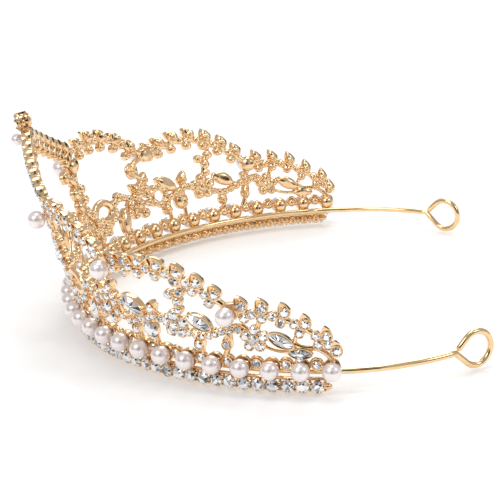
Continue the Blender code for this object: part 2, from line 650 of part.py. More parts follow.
add_object("stone_rail", stone_rail(), MATERIALS["gold"])
add_object("pearl_rail", pearl_rail(), MATERIALS["gold"])
add_object("centre_casting", centre_casting(), MATERIALS["gold"])
for piece, make_mesh in (("inner", inner_casting), ("middle", middle_casting), ("outer", outer_casting)):
    left_mesh = make_mesh()
    right_mesh = mirrored_mesh(left_mesh)
    add_object("left_%s_casting" % piece, left_mesh, MATERIALS["gold"])
    add_object("right_%s_casting" % piece, right_mesh, MATERIALS["gold"])

for index in range(-PEARLS_EACH_SIDE, PEARLS_EACH_SIDE + 1):
    side_name = "front" if index == 0 else "%s_%02d" % ("left" if index > 0 else "right", abs(index))
    pearl("rail_pearl_" + side_name, index * PEARL_PITCH, 0.0, PEARL_DEPTH)
pearl("apex_pearl", *APEX_PEARL, APEX_PEARL_DEPTH, APEX_PEARL_RADIUS)
for name, (degrees, height) in (("gable", GABLE_PEARL), ("inner", INNER_PEARL), ("middle", MIDDLE_PEARL)):
    pearl("left_%s_pearl" % name, degrees, height, ACCENT_DEPTH)
    pearl("right_%s_pearl" % name, -degrees, height, ACCENT_DEPTH)

add_object("apex_crystal", crystal(0.0, 47.0, 3.4, 3.4, 0.0, 8), MATERIALS["crystal"])
for name, place in (("inner", INNER_MARQUISE), ("middle", MIDDLE_MARQUISE), ("rear", REAR_MARQUISE),
                    ("outer", OUTER_MARQUISE)):
    left_mesh = crystal(*place, 6)
    right_mesh = mirrored_mesh(left_mesh)
    add_object("left_%s_marquise" % name, left_mesh, MATERIALS["crystal"])
    add_object("right_%s_marquise" % name, right_mesh, MATERIALS["crystal"])

add_object("headband_wire", tube_mesh(band_wire_points(-FLEX_ANGLE, FLEX_ANGLE, 36), WIRE_RADIUS, 2),
           MATERIALS["gold"], 60)
left_arm = tube_mesh(arm_wire_points(), WIRE_RADIUS, 2)
right_arm = mirrored_mesh(left_arm)
add_object("left_arm_wire", left_arm, MATERIALS["gold"], 60)
add_object("right_arm_wire", right_arm, MATERIALS["gold"], 60)
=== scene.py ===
"""Looks of the pearl and crystal tiara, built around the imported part.

Castings are drawn flat in millimetres, as x along the band, y up from the pearl row and z outwards, and are
then bent onto the leaning band. The left half is modelled and the right half is its mirror image.
"""

import math

import bmesh
import bpy
import numpy as np
from mathutils import Matrix, Vector


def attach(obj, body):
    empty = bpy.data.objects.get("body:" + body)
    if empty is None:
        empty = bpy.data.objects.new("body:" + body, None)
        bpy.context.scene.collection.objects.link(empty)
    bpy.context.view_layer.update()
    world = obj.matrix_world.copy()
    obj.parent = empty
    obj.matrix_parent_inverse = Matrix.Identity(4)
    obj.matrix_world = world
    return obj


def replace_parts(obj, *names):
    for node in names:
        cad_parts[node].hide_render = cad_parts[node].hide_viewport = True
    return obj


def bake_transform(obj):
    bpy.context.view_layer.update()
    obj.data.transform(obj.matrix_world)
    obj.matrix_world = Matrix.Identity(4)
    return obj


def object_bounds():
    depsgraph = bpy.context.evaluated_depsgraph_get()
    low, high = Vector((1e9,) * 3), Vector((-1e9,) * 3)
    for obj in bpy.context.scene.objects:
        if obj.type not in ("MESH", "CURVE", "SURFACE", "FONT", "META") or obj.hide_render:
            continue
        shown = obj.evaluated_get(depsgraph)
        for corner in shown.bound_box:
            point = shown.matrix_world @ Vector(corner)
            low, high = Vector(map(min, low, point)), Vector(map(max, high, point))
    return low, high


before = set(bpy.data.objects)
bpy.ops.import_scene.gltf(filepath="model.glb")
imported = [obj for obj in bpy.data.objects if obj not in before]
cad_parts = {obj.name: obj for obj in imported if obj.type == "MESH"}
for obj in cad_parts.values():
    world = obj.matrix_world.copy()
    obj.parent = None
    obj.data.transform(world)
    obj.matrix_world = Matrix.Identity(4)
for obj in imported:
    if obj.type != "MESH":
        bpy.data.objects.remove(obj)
CAD_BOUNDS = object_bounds()

MM = 0.001

# The band, as the part has it (millimetres and degrees)
RAIL_RADIUS = 73.0
CENTRE_Y = 26.23
PEARL_ROW_Z = 6.5
FRONT_LEAN = 0.26
LEAN_FULL_TO = 50.0
LEAN_ENDS_AT = 85.0
PEARL_RADIUS = 2.42              # inside the part's bead, which is 2.5
PEARLS_EACH_SIDE = 15
PEARL_PITCH = 5.81
PEARL_DEPTH = 2.85
ACCENT_DEPTH = 4.1
APEX_PEARL_RADIUS = 1.7
APEX_PEARL_DEPTH = 3.5
WIRE_RADIUS = 0.8                # a little over the part's 0.7
WIRE_DEPTH = -2.3
WIRE_Z = PEARL_ROW_Z - 1.6
ARM_LENGTH = 28.2
ARM_TURN = 34.0
LOOP_HEADING = 32.0
LOOP_RADIUS = 4.4
LOOP_REACH = 6.4
LOOP_END = 1.5
GAP = 0.3                        # between the band's end and the arm
WIRE_STEP = 2.0                  # degrees between two points of the wire along the band
WIRE_STEPS = 44                  # steps on each side of the front
ARM_FIRST_STEP = 42              # the step at which the arm's mesh takes over from the band's
ARM_STEPS = 16
ARM_RISE = 0.02                  # mm up for each mm of the arm
LOOP_STEPS = 30
WIRE_SIDES = 16

VOXEL = 0.19                     # the grain that a casting is melted together at
SHARP_ANGLE = 50.0               # degrees; sharper edges of the gold stay crisp
RIB_DEPTH = 0.3                  # mm, a rib's middle above the flat drawing
CUP_BACK = -1.0                  # mm, the back of a round seat
CUP_SIDES = 14
CUP_RIM = 0.16                   # mm, from the edge of a seat to its crystal
BEZEL_WALL = 0.15
CLAW_RADIUS = 0.15
LEAF_CRYSTAL_RADIUS = 1.3        # at most
VINE_LEAF = (4.5, 3.3)           # mm long and wide
VINE_CUP = 2.5                   # mm across, the seats on a stem
LOW_CUP = 2.7                    # mm across, the seats below it
PETALS = 5
ALMOND_SIDES = 24
BAR_POINTS = 121                 # points of a bar that runs along the whole band
RAIL_STONE_Y = -PEARL_ROW_Z + 1.85
RAIL_STONE_RADIUS = 1.74
SPACER_RADIUS = 1.08             # the crystals between the pearls
PEARL_ROWS = 14
PEARL_SIDES = 24

# Each scallop's leaves as (degrees, mm, direction of the tip), then the crystals on and below its stem
INNER_LEAVES = ((22.6, 32.6, 135), (26.8, 33.3, 130), (31.3, 32.0, 116), (35.3, 30.0, 125), (38.9, 26.8, 118))
INNER_STEM = ((20.6, 31.0), (24.5, 31.1), (28.9, 31.2), (33.0, 29.9), (36.8, 27.3), (39.6, 24.6))
INNER_LOW = ((22.4, 29.0), (26.3, 29.2), (30.3, 28.7), (34.2, 27.0), (37.4, 23.9))
MIDDLE_LEAVES = ((44.0, 24.7, 140), (47.0, 25.4, 148), (50.8, 26.2, 145), (55.0, 26.1, 130), (59.0, 24.7, 104),
                 (62.5, 22.3, 104), (65.6, 19.5, 108))
MIDDLE_STEM = ((45.4, 23.0), (48.8, 23.8), (52.8, 24.3), (56.9, 23.7), (60.6, 21.7), (63.9, 18.9))
MIDDLE_LOW = ((43.8, 21.6), (46.7, 21.7), (50.4, 22.2), (54.4, 22.4), (58.2, 21.6), (61.5, 19.3), (64.5, 16.4))
OUTER_LEAVES = ((70.3, 16.7, 112), (74.2, 16.3, 112), (78.4, 15.2, 108), (82.3, 12.3, 100), (86.2, 9.1, 98),
                (88.0, 5.4, 98))
OUTER_STEM = ((69.4, 14.9), (72.4, 14.0), (76.3, 13.6), (80.3, 11.6), (84.2, 8.7), (86.6, 6.2))
OUTER_LOW = ((70.9, 12.8), (74.2, 12.9), (77.7, 11.8), (81.2, 9.2), (84.7, 6.4))

# Accent pearls as (degrees, mm), and the marquise crystals as (degrees, mm, direction)
APEX_HEIGHT = 47.0
APEX_PEARL = (0.0, 42.7)
GABLE_PEARL = (18.3, 27.5)
INNER_PEARL = (42.9, 22.8)
MIDDLE_PEARL = (68.3, 14.5)
INNER_MARQUISE = (32.2, 6.2, 76.0)
MIDDLE_MARQUISE = (47.0, 12.8, -33.0)
REAR_MARQUISE = (62.0, 11.0, -30.0)
OUTER_MARQUISE = (77.7, 7.3, -27.0)

# The gable: rows of deep cups that climb from the pillars to the apex
GABLE_ROWS = 7
GABLE_FIRST = 1.7                # degrees from the front
GABLE_STEP = 2.5                 # degrees between two rows of the gable
GABLE_TOP = 41.4                 # mm, the middle of the first row
GABLE_FALL = 0.64                # mm for each degree

# The camera: place in metres; azimuth, elevation and roll in degrees
CAMERA_PLACE = (0.5175, 0.0224, 0.1748)
CAMERA_TURNS = (92.4, 18.0, -2.63)
CAMERA_LENS = 140.88
CAMERA_SHIFT = (-0.001, 0.0556)

# Gilt, as its light and deep colours
CAST_GILT = ((0.94, 0.70, 0.45), (0.84, 0.57, 0.31))
WIRE_GILT = ((0.93, 0.70, 0.42), (0.86, 0.60, 0.32))

# Lights as name, place, sides and watts; dark cards as name, place and sides (metres)
STAGE_MIDDLE = (0.0, 0.0, 0.03)
LIGHTS = (
    ("key", (0.55, -0.45, 0.7), (0.45, 0.45), 2.0),
    ("fill", (0.3, 0.7, 0.6), (0.3, 0.3), 0.9),
    ("back", (-0.6, 0.1, 0.6), (0.4, 0.3), 1.6),
    ("top", (0.0, 0.0, 0.9), (0.4, 0.4), 1.4),
)
DARK_CARDS = (
    ("lens_card", (0.62, 0.02, 0.20), (0.44, 0.40)),
    ("side_card", (0.25, -0.7, 0.12), (0.45, 0.22)),
    ("far_card", (-0.55, 0.35, 0.10), (0.40, 0.20)),
    ("inner_card", (0.35, 0.45, 0.08), (0.26, 0.16)),
    ("high_card", (0.25, 0.1, 0.55), (0.12, 0.34)),
)
WORLD_STRENGTH = 0.55
FLOOR_GLOW = 0.14
FLOOR_HALF = 4.0
FLOOR_DROP = 0.0005              # metres that the floor lies under the part


# ---------------------------------------------------------------- camera

def add_camera():
    """The photograph's viewing angle: from the wearer's left, 18 degrees above, with a slight roll."""
    data = bpy.data.cameras.new("camera")
    data.sensor_width = 36.0
    data.lens = CAMERA_LENS
    data.shift_x, data.shift_y = CAMERA_SHIFT
    data.clip_start = 0.01
    camera = bpy.data.objects.new("camera", data)
    bpy.context.scene.collection.objects.link(camera)
    azimuth, elevation, roll = (math.radians(turn) for turn in CAMERA_TURNS)
    back = Vector((math.sin(azimuth) * math.cos(elevation), -math.cos(azimuth) * math.cos(elevation),
                   math.sin(elevation)))
    level = (-back).cross(Vector((0.0, 0.0, 1.0))).normalized()
    upright = level.cross(-back)
    right = level * math.cos(roll) + upright * math.sin(roll)
    up = upright * math.cos(roll) - level * math.sin(roll)
    facing = Matrix((right, up, back)).transposed()
    camera.matrix_world = Matrix.LocRotScale(Vector(CAMERA_PLACE), facing, None)
    bpy.context.scene.camera = camera


# ---------------------------------------------------------------- materials

def new_material(name):
    """A Principled material and its nodes."""
    material = bpy.data.materials.new(name)
    material.use_nodes = True
    nodes = material.node_tree.nodes
    return material, nodes, material.node_tree.links, nodes["Principled BSDF"]


def noise(nodes, links, scale, detail=2.0):
    """Noise fixed to the object, in features per metre."""
    place = nodes.new("ShaderNodeTexCoord")
    texture = nodes.new("ShaderNodeTexNoise")
    texture.inputs["Scale"].default_value = scale
    texture.inputs["Detail"].default_value = detail
    links.new(place.outputs["Object"], texture.inputs["Vector"])
    return texture.outputs["Fac"]


def ramp(nodes, links, value, stops):
    """A colour ramp over a value; each stop is its place and its colour."""
    node = nodes.new("ShaderNodeValToRGB")
    elements = node.color_ramp.elements
    while len(elements) < len(stops):
        elements.new(0.5)
    for element, (place, colour) in zip(elements, stops):
        element.position = place
        element.color = (*colour, 1.0)
    links.new(value, node.inputs["Fac"])
    return node.outputs["Color"]


def add_bump(nodes, links, shader, height, distance, strength):
    """Fine relief from a height value."""
    bump = nodes.new("ShaderNodeBump")
    bump.inputs["Distance"].default_value = distance
    bump.inputs["Strength"].default_value = strength
    links.new(height, bump.inputs["Height"])
    links.new(bump.outputs["Normal"], shader.inputs["Normal"])


def roughness_range(nodes, links, shader, value, low, high):
    """Roughness that follows a value."""
    spread = nodes.new("ShaderNodeMapRange")
    spread.inputs["To Min"].default_value = low
    spread.inputs["To Max"].default_value = high
    links.new(value, spread.inputs["Value"])
    links.new(spread.outputs["Result"], shader.inputs["Roughness"])


def gold_material(name, light, deep, low, high, relief):
    """Polished gilt: light and deep colours, lowest and highest roughness, and relief in metres."""
    material, nodes, links, shader = new_material(name)
    shader.inputs["Metallic"].default_value = 1.0
    cloud = noise(nodes, links, 420.0)
    links.new(ramp(nodes, links, cloud, ((0.3, deep), (0.7, light))), shader.inputs["Base Color"])
    roughness_range(nodes, links, shader, noise(nodes, links, 900.0), low, high)
    add_bump(nodes, links, shader, noise(nodes, links, 1500.0, 3.0), relief, 0.6)
    return material


def pearl_material():
    """Imitation pearl: a white core under a thin glossy skin with a faint rosy play of colour."""
    material, nodes, links, shader = new_material("pearl")
    cloud = noise(nodes, links, 260.0)
    tint = ramp(nodes, links, cloud, ((0.3, (0.93, 0.84, 0.84)), (0.7, (0.97, 0.90, 0.88))))
    links.new(tint, shader.inputs["Base Color"])
    shader.inputs["Metallic"].default_value = 0.55
    roughness_range(nodes, links, shader, noise(nodes, links, 1200.0), 0.26, 0.30)
    shader.inputs["IOR"].default_value = 1.7
    shader.inputs["Coat Weight"].default_value = 0.5
    shader.inputs["Coat Roughness"].default_value = 0.12
    shader.inputs["Coat IOR"].default_value = 1.6
    shader.inputs["Sheen Weight"].default_value = 0.2
    shader.inputs["Sheen Roughness"].default_value = 0.4
    return material


def crystal_material():
    """Foil-backed cut glass with painted reflections: each facet's base colour is a random grey, from near
    black to white, that stands in for the light the facet throws back.
    """
    material, nodes, links, shader = new_material("crystal")
    geometry = nodes.new("ShaderNodeNewGeometry")
    steps = nodes.new("ShaderNodeVectorMath")
    steps.operation = "SNAP"
    steps.inputs[1].default_value = (0.02, 0.02, 0.02)
    links.new(geometry.outputs["True Normal"], steps.inputs[0])
    facet = nodes.new("ShaderNodeTexWhiteNoise")
    facet.noise_dimensions = "3D"
    links.new(steps.outputs["Vector"], facet.inputs["Vector"])
    # Painted reflections: a random grey for each facet, from near black to white, is put in the base colour to
    # stand in for the glints and dark flashes of cut glass.
    painted_facet_reflections = ramp(nodes, links, facet.outputs["Value"], (
        (0.0, (0.10, 0.10, 0.11)), (0.2, (0.40, 0.40, 0.42)), (0.45, (0.80, 0.80, 0.82)),
        (0.8, (0.98, 0.98, 0.98))))
    links.new(painted_facet_reflections, shader.inputs["Base Color"])
    shader.inputs["Metallic"].default_value = 0.9
    roughness_range(nodes, links, shader, facet.outputs["Value"], 0.03, 0.09)
    shader.inputs["Coat Weight"].default_value = 1.0
    shader.inputs["Coat Roughness"].default_value = 0.02
    return material


# ---------------------------------------------------------------- flat drawing and the leaning band

def lean_slopes(degrees):
    """Outward slope of the band at angles from the front."""
    t = np.clip((LEAN_ENDS_AT - np.abs(degrees)) / (LEAN_ENDS_AT - LEAN_FULL_TO), 0.0, 1.0)
    return FRONT_LEAN * t * t * (3.0 - 2.0 * t)


def bend(flat):
    """Places on the band in metres, from flat places in millimetres."""
    angle = flat[:, 0] / RAIL_RADIUS
    height = flat[:, 1]
    depth = flat[:, 2]
    slope = np.where(height > 0.0, lean_slopes(np.degrees(angle)), 0.0)
    tilt = np.arctan(slope)
    radius = RAIL_RADIUS + slope * height + depth * np.cos(tilt)
    bent = np.stack((radius * np.sin(angle), CENTRE_Y - radius * np.cos(angle),
                     PEARL_ROW_Z + height - depth * np.sin(tilt)), axis=1)
    return bent * MM


def along(degrees):
    """Millimetres along the flat band."""
    return RAIL_RADIUS * math.radians(degrees)


def smooth_path(points, steps):
    """Evenly stepped Catmull-Rom curve through points."""
    padded = [points[0], *points, points[-1]]
    samples = []
    for step in range(steps + 1):
        position = step / steps * (len(points) - 1)
        index = min(int(position), len(points) - 2)
        t = position - index
        p0, p1, p2, p3 = (Vector(p) for p in padded[index:index + 4])
        samples.append(0.5 * (2 * p1 + (p2 - p0) * t + (2 * p0 - 5 * p1 + 4 * p2 - p3) * t * t
                              + (3 * p1 - p0 - 3 * p2 + p3) * t ** 3))
    return samples


# ---------------------------------------------------------------- mesh shapes

class Shapes:
    """Closed shapes gathered into one set of points and faces."""

    def __init__(self):
        self.points = []
        self.faces = []

    def add(self, points, faces):
        """Add one shape."""
        first = len(self.points)
        self.points.extend(tuple(p) for p in points)
        self.faces.extend(tuple(first + i for i in face) for face in faces)

    def mesh(self, name):
        """The shapes as a mesh."""
        mesh = bpy.data.meshes.new(name)
        mesh.from_pydata(self.points, [], self.faces)
        return mesh


def circle(sides, radius=1.0, start=0.0):
    """Corners of a regular polygon."""
    turns = [start + 2 * math.pi * i / sides for i in range(sides)]
    return [(radius * math.cos(a), radius * math.sin(a)) for a in turns]


def spade_outline(length, width):
    """A pointed arch: a half circle at -X whose sides run on into a straight-edged tip at +X."""
    radius = 0.5 * width
    centre = radius - 0.5 * length
    tip = 0.5 * length
    turns = np.linspace(0.30, 1.70, 13) * math.pi
    arc = [(centre + radius * math.cos(a), radius * math.sin(a)) for a in turns]
    sides = [(centre + (tip - centre) * t, radius * (1.0 - t) ** 0.8 * (1.0 + 0.5 * t))
             for t in (0.35, 0.6, 0.82)]
    lower = [(px, -py) for px, py in sides]
    return [*arc, *lower, (tip, 0.0), *reversed(sides)]


def almond_outline(length, width):
    """A marquise, pointed at both ends."""
    turns = [2 * math.pi * i / ALMOND_SIDES for i in range(ALMOND_SIDES)]
    return [(0.5 * length * math.cos(a), 0.5 * width * math.sin(a) * abs(math.sin(a)) ** 0.35) for a in turns]


def loft(outline, profile, centre, turn=0.0, curl=0.0, focus=(0.0, 0.0)):
    """A closed shape: an outline scaled about its focus and raised along a profile from back to front."""
    points = []
    faces = []
    rows = []
    sides = len(outline)
    reach = max(abs(x) for x, y in outline)
    for scale, z in profile:
        first = len(points)
        if scale == 0.0:
            points.append((focus[0], focus[1], z))
            rows.append([first] * sides)
        else:
            points.extend((focus[0] + (x - focus[0]) * scale, focus[1] + (y - focus[1]) * scale, z)
                          for x, y in outline)
            rows.append(list(range(first, first + sides)))
    for low, high in zip(rows, rows[1:]):
        for i in range(sides):
            j = (i + 1) % sides
            face = [low[i], low[j], high[j], high[i]]
            faces.append(tuple(dict.fromkeys(face)))
    cosine = math.cos(math.radians(turn))
    sine = math.sin(math.radians(turn))
    placed = []
    for x, y, z in points:
        lift = curl * max(0.0, x / reach) ** 2
        placed.append((centre[0] + x * cosine - y * sine, centre[1] + x * sine + y * cosine, z + lift))
    return placed, faces


def tube(path, radius, sides=8):
    """A round bar along 3-D points; radius is one number, or one for each point. Its ends are rounded."""
    path = [Vector(p) for p in path]
    radii = list(radius) if hasattr(radius, "__len__") else [radius] * len(path)
    head = (path[0] - path[1]).normalized() * radii[0]
    tail = (path[-1] - path[-2]).normalized() * radii[-1]
    path = [path[0] + head * 0.6, *path, path[-1] + tail * 0.6]
    radii = [radii[0] * 0.62, *radii, radii[-1] * 0.62]
    count = len(path)
    points = []
    faces = []
    normal = None
    for index, point in enumerate(path):
        after = path[min(index + 1, count - 1)]
        before = path[max(index - 1, 0)]
        tangent = (after - before).normalized()
        if normal is None:
            normal = tangent.orthogonal().normalized()
        normal = (normal - tangent * normal.dot(tangent)).normalized()
        side = tangent.cross(normal)
        for i in range(sides):
            a = 2 * math.pi * i / sides
            points.append(point + (normal * math.cos(a) + side * math.sin(a)) * radii[index])
    for k in range(count - 1):
        low = k * sides
        high = low + sides
        for i in range(sides):
            j = (i + 1) % sides
            faces.append((low + i, low + j, high + j, high + i))
    start = len(points)
    points.append(path[0] + (path[0] - path[1]).normalized() * radii[0] * 0.4)
    points.append(path[-1] + (path[-1] - path[-2]).normalized() * radii[-1] * 0.4)
    last = (count - 1) * sides
    for i in range(sides):
        j = (i + 1) % sides
        faces.append((start, j, i))
        faces.append((start + 1, last + i, last + j))
    return points, faces


def brilliant(centre, radius, z, turn=0.0):
    """A round brilliant: table, star, kite and girdle facets over a low pavilion."""
    def ring(count, r, height, start):
        return [(centre[0] + x * radius, centre[1] + y * radius, z + height * radius)
                for x, y in circle(count, r, start)]

    step = 2 * math.pi / 8
    table = ring(8, 0.52, 0.42, turn)
    star = ring(8, 0.80, 0.27, turn + step / 2)
    girdle = ring(16, 1.0, 0.0, turn)
    points = [*table, *star, *girdle, (centre[0], centre[1], z - 0.45 * radius)]
    faces = [tuple(range(8))]
    for k in range(8):
        after = (k + 1) % 8
        g0, g1, g2 = 16 + 2 * k, 16 + 2 * k + 1, 16 + (2 * k + 2) % 16
        faces.append((k, 8 + k, after))
        faces.append((k, g0, 8 + k))
        faces.append((k, 8 + (k - 1) % 8, g0))
        faces.append((8 + k, g0, g1))
        faces.append((8 + k, g1, g2))
        faces.append((32, g1, g0))
        faces.append((32, g2, g1))
    return points, faces


def navette(centre, length, width, z, turn):
    """A marquise-cut crystal with a table, two rows of crown facets and a low pavilion."""
    rows = (
        (0.30, 0, 0.34 * width),
        (0.62, 1, 0.25 * width),
        (1.0, 0, 0.0),
    )
    cosine = math.cos(math.radians(turn))
    sine = math.sin(math.radians(turn))
    sides = ALMOND_SIDES // 2
    points = []
    for scale, first, height in rows:
        outline = almond_outline(length * scale, width * scale)
        for x, y in outline[first::2]:
            points.append((centre[0] + x * cosine - y * sine, centre[1] + x * sine + y * cosine, z + height))
    points.append((*centre, z - 0.3 * width))
    faces = [tuple(range(sides))]
    for k in range(sides):
        after = (k + 1) % sides
        mid = sides + k
        faces.append((k, mid, after))
        faces.append((k, sides + (k - 1) % sides, 2 * sides + k))
        faces.append((k, 2 * sides + k, mid))
        faces.append((mid, 2 * sides + k, 2 * sides + after))
        faces.append((3 * sides, 2 * sides + after, 2 * sides + k))
    return points, faces


# ---------------------------------------------------------------- making objects

def new_object(name, mesh, material):
    """A piece with one material."""
    mesh.name = name
    mesh.materials.clear()
    mesh.materials.append(material)
    obj = bpy.data.objects.new(name, mesh)
    bpy.context.scene.collection.objects.link(obj)
    return obj


def melted(shapes):
    """The shapes' outer skin as one smooth casting."""
    mesh = shapes.mesh("wax")
    obj = bpy.data.objects.new("wax", mesh)
    bpy.context.scene.collection.objects.link(obj)
    remesh = obj.modifiers.new("melt", "REMESH")
    remesh.mode = "VOXEL"
    remesh.voxel_size = VOXEL
    remesh.adaptivity = 0.0
    smooth = obj.modifiers.new("soften", "SMOOTH")
    smooth.factor = 0.5
    smooth.iterations = 2
    cast = bpy.data.meshes.new_from_object(obj.evaluated_get(bpy.context.evaluated_depsgraph_get()))
    bpy.data.objects.remove(obj, do_unlink=True)
    return cast


def joined(meshes):
    """Several meshes in one."""
    work = bmesh.new()
    for mesh in meshes:
        work.from_mesh(mesh)
    result = bpy.data.meshes.new("joined")
    work.to_mesh(result)
    work.free()
    return result


def bend_mesh(mesh):
    """Bend a flat mesh onto the band."""
    flat = np.empty(len(mesh.vertices) * 3)
    mesh.vertices.foreach_get("co", flat)
    mesh.vertices.foreach_set("co", bend(flat.reshape(-1, 3)).ravel())
    mesh.update()


def mirrored(mesh):
    """A copy of a mesh on the other side of the X = 0 plane."""
    work = bmesh.new()
    work.from_mesh(mesh)
    bmesh.ops.scale(work, vec=(-1.0, 1.0, 1.0), verts=work.verts)
    bmesh.ops.reverse_faces(work, faces=work.faces)
    copy = bpy.data.meshes.new("mirrored")
    work.to_mesh(copy)
    work.free()
    return copy


def smooth_shading(mesh):
    """Smooth shading with the sharp edges kept crisp."""
    mesh.shade_smooth()
    mesh.set_sharp_from_angle(angle=math.radians(SHARP_ANGLE))


# ---------------------------------------------------------------- the vocabulary of the castings

class Casting:
    """One casting: its wax (melted together), its crisp edges, and the crystals set in it."""

    def __init__(self):
        self.wax = Shapes()
        self.edges = Shapes()
        self.stones = Shapes()
        self.count = 0

    def stone(self, x, y, radius, z):
        """One round crystal and the thin bezel around it."""
        self.count += 1
        self.stones.add(*brilliant((x, y), radius, z, self.count * 1.3))
        outer = radius + BEZEL_WALL
        self.edges.add(*loft(circle(CUP_SIDES), (
            (0.0, z - 0.9), (outer - 0.05, z - 0.9), (outer, z - 0.2), (outer, z + 0.12),
            (radius - 0.02, z + 0.1), (radius - 0.04, z - 0.1), (0.0, z - 0.15)), (x, y)))
        for claw in range(4):
            a = math.pi * (0.25 + 0.5 * claw) + 0.3 * self.count
            reach = radius + 0.02
            self.edges.add(*tube((
                (x + reach * math.cos(a), y + reach * math.sin(a), z - 0.2),
                (x + reach * math.cos(a), y + reach * math.sin(a), z + 0.22),
                (x + 0.86 * reach * math.cos(a), y + 0.86 * reach * math.sin(a), z + 0.34)), CLAW_RADIUS, 5))

    def cup(self, degrees, height, diameter, z=1.1):
        """A round seat with a domed back that has a small dimple, and its crystal."""
        x = along(degrees)
        r = 0.5 * diameter
        self.wax.add(*loft(circle(CUP_SIDES), (
            (0.0, CUP_BACK + 0.7), (0.2 * r, CUP_BACK + 0.45), (0.42 * r, CUP_BACK),
            (0.82 * r, CUP_BACK + 0.3 * r), (r, CUP_BACK + 0.9 * r), (0.98 * r, z - 0.5),
            (0.8 * r, z - 0.45), (0.0, z - 0.5)), (x, height)))
        self.stone(x, height, r - CUP_RIM, z)

    def deep_cup(self, degrees, height, length, width, angle):
        """A straight-sided oval seat, as deep as it is wide, and its crystal."""
        x = along(degrees)
        outline = [(0.5 * length * px, 0.5 * width * py) for px, py in circle(16)]
        self.edges.add(*loft(outline, (
            (0.0, -1.1), (0.78, -1.15), (0.92, -0.95), (0.96, 0.5), (1.0, 0.9), (1.0, 1.35), (0.86, 1.35),
            (0.80, 0.95), (0.0, 0.9)), (x, height), angle))
        if length > width + 0.5:
            self.stones.add(*navette((x, height), length - 0.5, width - 0.5, 1.2, angle))
        else:
            self.count += 1
            self.stones.add(*brilliant((x, height), 0.5 * width - 0.2, 1.2, self.count * 1.3))

    def apex_cup(self):
        """The tall stepped cup at the apex, with six claws."""
        self.edges.add(*loft(circle(16), (
            (0.0, -2.0), (1.2, -2.0), (1.5, -1.6), (1.95, -1.5), (2.05, -0.9), (1.7, -0.7), (2.1, -0.4),
            (2.25, 0.4), (1.95, 0.6), (2.3, 0.9), (2.35, 1.6), (2.1, 1.7), (2.0, 1.3), (0.0, 1.2)),
            (0.0, APEX_HEIGHT)))
        for claw in range(6):
            a = math.radians(30.0 + 60.0 * claw)
            px = 2.25 * math.cos(a)
            py = 2.25 * math.sin(a)
            self.edges.add(*tube((
                (px, APEX_HEIGHT + py, -1.2), (px, APEX_HEIGHT + py, 1.8),
                (0.8 * px, APEX_HEIGHT + 0.8 * py, 2.2)), 0.3, 6))

    def pearl_seat(self, degrees, height):
        """A deep round cup that holds an accent pearl."""
        x = along(degrees)
        self.wax.add(*loft(circle(18), (
            (0.0, -1.5), (1.2, -1.35), (2.0, -0.8), (2.3, 0.0), (2.45, 1.1), (2.1, 1.3), (1.6, 0.9),
            (0.0, 0.7)), (x, height)))

    def leaf(self, x, y, length, width, angle):
        """A pointed dish with thin walls; its tip stands up as a hood behind the crystal in its belly."""
        outline = spade_outline(length, width)
        belly = (-0.16 * length, 0.0)
        self.wax.add(*loft(outline, (
            (0.0, -1.0), (0.3, -0.95), (0.62, -0.8), (0.86, -0.4), (0.94, 0.2), (0.9, 0.55), (0.0, 0.5)),
            (x, y), angle, 0.0, belly))
        self.edges.add(*loft(outline, (
            (0.0, -0.1), (0.8, -0.3), (0.97, -0.05), (1.0, 0.6), (0.99, 1.35), (0.90, 1.35), (0.86, 0.75),
            (0.0, 0.62)), (x, y), angle, 0.45, belly))
        belly_x = x + belly[0] * math.cos(math.radians(angle))
        belly_y = y + belly[0] * math.sin(math.radians(angle))
        radius = min(LEAF_CRYSTAL_RADIUS, 0.37 * width)
        self.wax.add(*loft(circle(CUP_SIDES), (
            (0.0, -0.75), (0.22, -1.0), (0.48, -1.5), (0.85, -1.35), (radius + 0.1, -0.6),
            (radius + 0.1, 0.5), (0.0, 0.5)), (belly_x, belly_y)))
        self.stone(belly_x, belly_y, radius, 1.15)

    def bezel(self, place, length, width):
        """A deep almond bezel with thin walls and a smooth back; its place is (degrees, mm, direction)."""
        degrees, height, angle = place
        centre = (along(degrees), height)
        outline = almond_outline(length, width)
        self.wax.add(*loft(outline, (
            (0.0, -0.9), (0.5, -0.85), (0.85, -0.5), (0.97, 0.1), (0.96, 0.9), (0.86, 0.95), (0.0, 0.8)),
            centre, angle))
        self.edges.add(*loft(outline, (
            (0.0, 0.2), (0.9, 0.1), (1.0, 0.3), (1.0, 1.6), (0.90, 1.6), (0.87, 1.1), (0.0, 1.0)),
            centre, angle))

    def marquise(self, place, length, width):
        """A bezel and its small crystal."""
        self.bezel(place, length, width)
        degrees, height, angle = place
        self.stones.add(*navette((along(degrees), height), length - 0.7, width - 0.7, 1.5, angle))

    def rib(self, points, steps, radius=0.6):
        """A rounded rib along a smooth path of (degrees, mm) points."""
        path = [(along(p.x), p.y, RIB_DEPTH) for p in smooth_path(points, steps)]
        self.wax.add(*tube(path, radius, 8))

    def ring(self, degrees, height, radius):
        """A round scroll."""
        steps = 20
        path = []
        for i in range(steps + 1):
            a = 2 * math.pi * i / steps
            path.append((along(degrees) + radius * math.cos(a), height + radius * math.sin(a), 0.4))
        self.wax.add(*tube(path, 0.62, 8))

    def vine(self, leaves, stem, low):
        """A stem of crystals with hooded leaves above and single crystals below."""
        self.rib(stem, 4 * len(stem), 0.8)
        for degrees, height, heading in leaves:
            self.leaf(along(degrees), height, *VINE_LEAF, heading)
        for degrees, height in stem[1:]:
            self.cup(degrees, height, VINE_CUP, 1.3)
        for degrees, height in low:
            self.cup(degrees, height, LOW_CUP, 1.0)
            nearest = min(leaves, key=lambda leaf: abs(leaf[0] - degrees) + 0.3 * abs(leaf[1] - height))
            self.rib(((degrees, height), nearest[:2]), 3, 0.6)

    def cups(self, seats):
        """Several round seats: (degrees, mm, diameter)."""
        for degrees, height, diameter in seats:
            self.cup(degrees, height, diameter)

